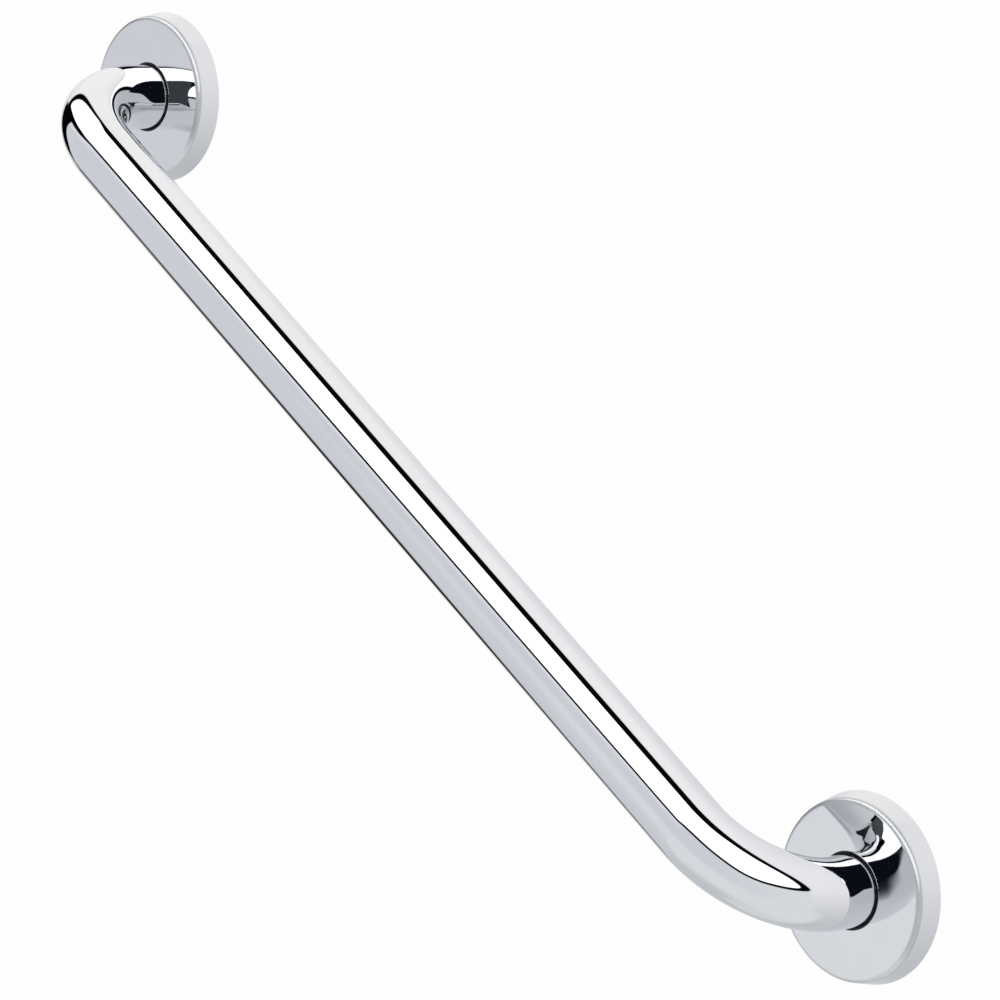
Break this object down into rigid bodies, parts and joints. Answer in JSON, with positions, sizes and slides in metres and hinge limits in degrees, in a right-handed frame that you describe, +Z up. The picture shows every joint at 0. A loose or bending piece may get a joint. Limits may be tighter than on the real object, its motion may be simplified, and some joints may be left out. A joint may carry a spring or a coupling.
{
  "type": "grab rail",
  "caption": "Straight wall-mounted grab rail of bent polished tube, standing off the wall on return legs, with round push-on covers over screwed base plates.",
  "frame": {"origin": "where the left leg's axis meets the wall, at the centre of the left mounting face", "axes": "+X along the bar towards the right leg, +Y into the wall, +Z up; the rail stands out from the wall along -Y"},
  "size_m": [0.6874, 0.1001, 0.0874],
  "materials": {
    "tube_polish": "mirror-polished stainless steel tube, very low roughness",
    "cover_polish": "mirror-polished pressed stainless cover",
    "plate_steel": "plain stainless plate, turned grain",
    "weld_metal": "rippled weld with heat tint, cleaned",
    "bush_nylon": "black nylon, semi-matt",
    "gasket_rubber": "black sheet rubber, matt",
    "screw_steel": "stainless pan-head tapping screw",
    "washer_steel": "stamped stainless washer"
  },
  "bodies": {
    "rail": {"rail_tube": "tube_polish", "left_wall_gasket": "gasket_rubber", "left_base_plate": "plate_steel", "left_weld_bead": "weld_metal", "left_washer_1": "washer_steel", "left_screw_1": "screw_steel", "left_washer_2": "washer_steel", "left_screw_2": "screw_steel", "left_washer_3": "washer_steel", "left_screw_3": "screw_steel", "right_wall_gasket": "gasket_rubber", "right_base_plate": "plate_steel", "right_weld_bead": "weld_metal", "right_washer_1": "washer_steel", "right_screw_1": "screw_steel", "right_washer_2": "washer_steel", "right_screw_2": "screw_steel", "right_washer_3": "washer_steel", "right_screw_3": "screw_steel"},
    "left_bush": {"left_cover_bush": "bush_nylon"},
    "left_cover": {"left_cover_flange": "cover_polish"},
    "right_bush": {"right_cover_bush": "bush_nylon"},
    "right_cover": {"right_cover_flange": "cover_polish"}
  },
  "joints": [
    {"name": "left_cover_slide", "type": "slide", "parent": "rail", "child": "left_bush", "axis": [0, -1, 0], "range_m": [0, 0.012]},
    {"name": "left_cover_spin", "type": "hinge", "parent": "left_bush", "child": "left_cover", "pos_m": [0, 0, 0], "axis": [0, -1, 0], "continuous": true},
    {"name": "right_cover_slide", "type": "slide", "parent": "rail", "child": "right_bush", "axis": [0, -1, 0], "range_m": [0, 0.012]},
    {"name": "right_cover_spin", "type": "hinge", "parent": "right_bush", "child": "right_cover", "pos_m": [0.6, 0, 0], "axis": [0, -1, 0], "continuous": true}
  ]
}
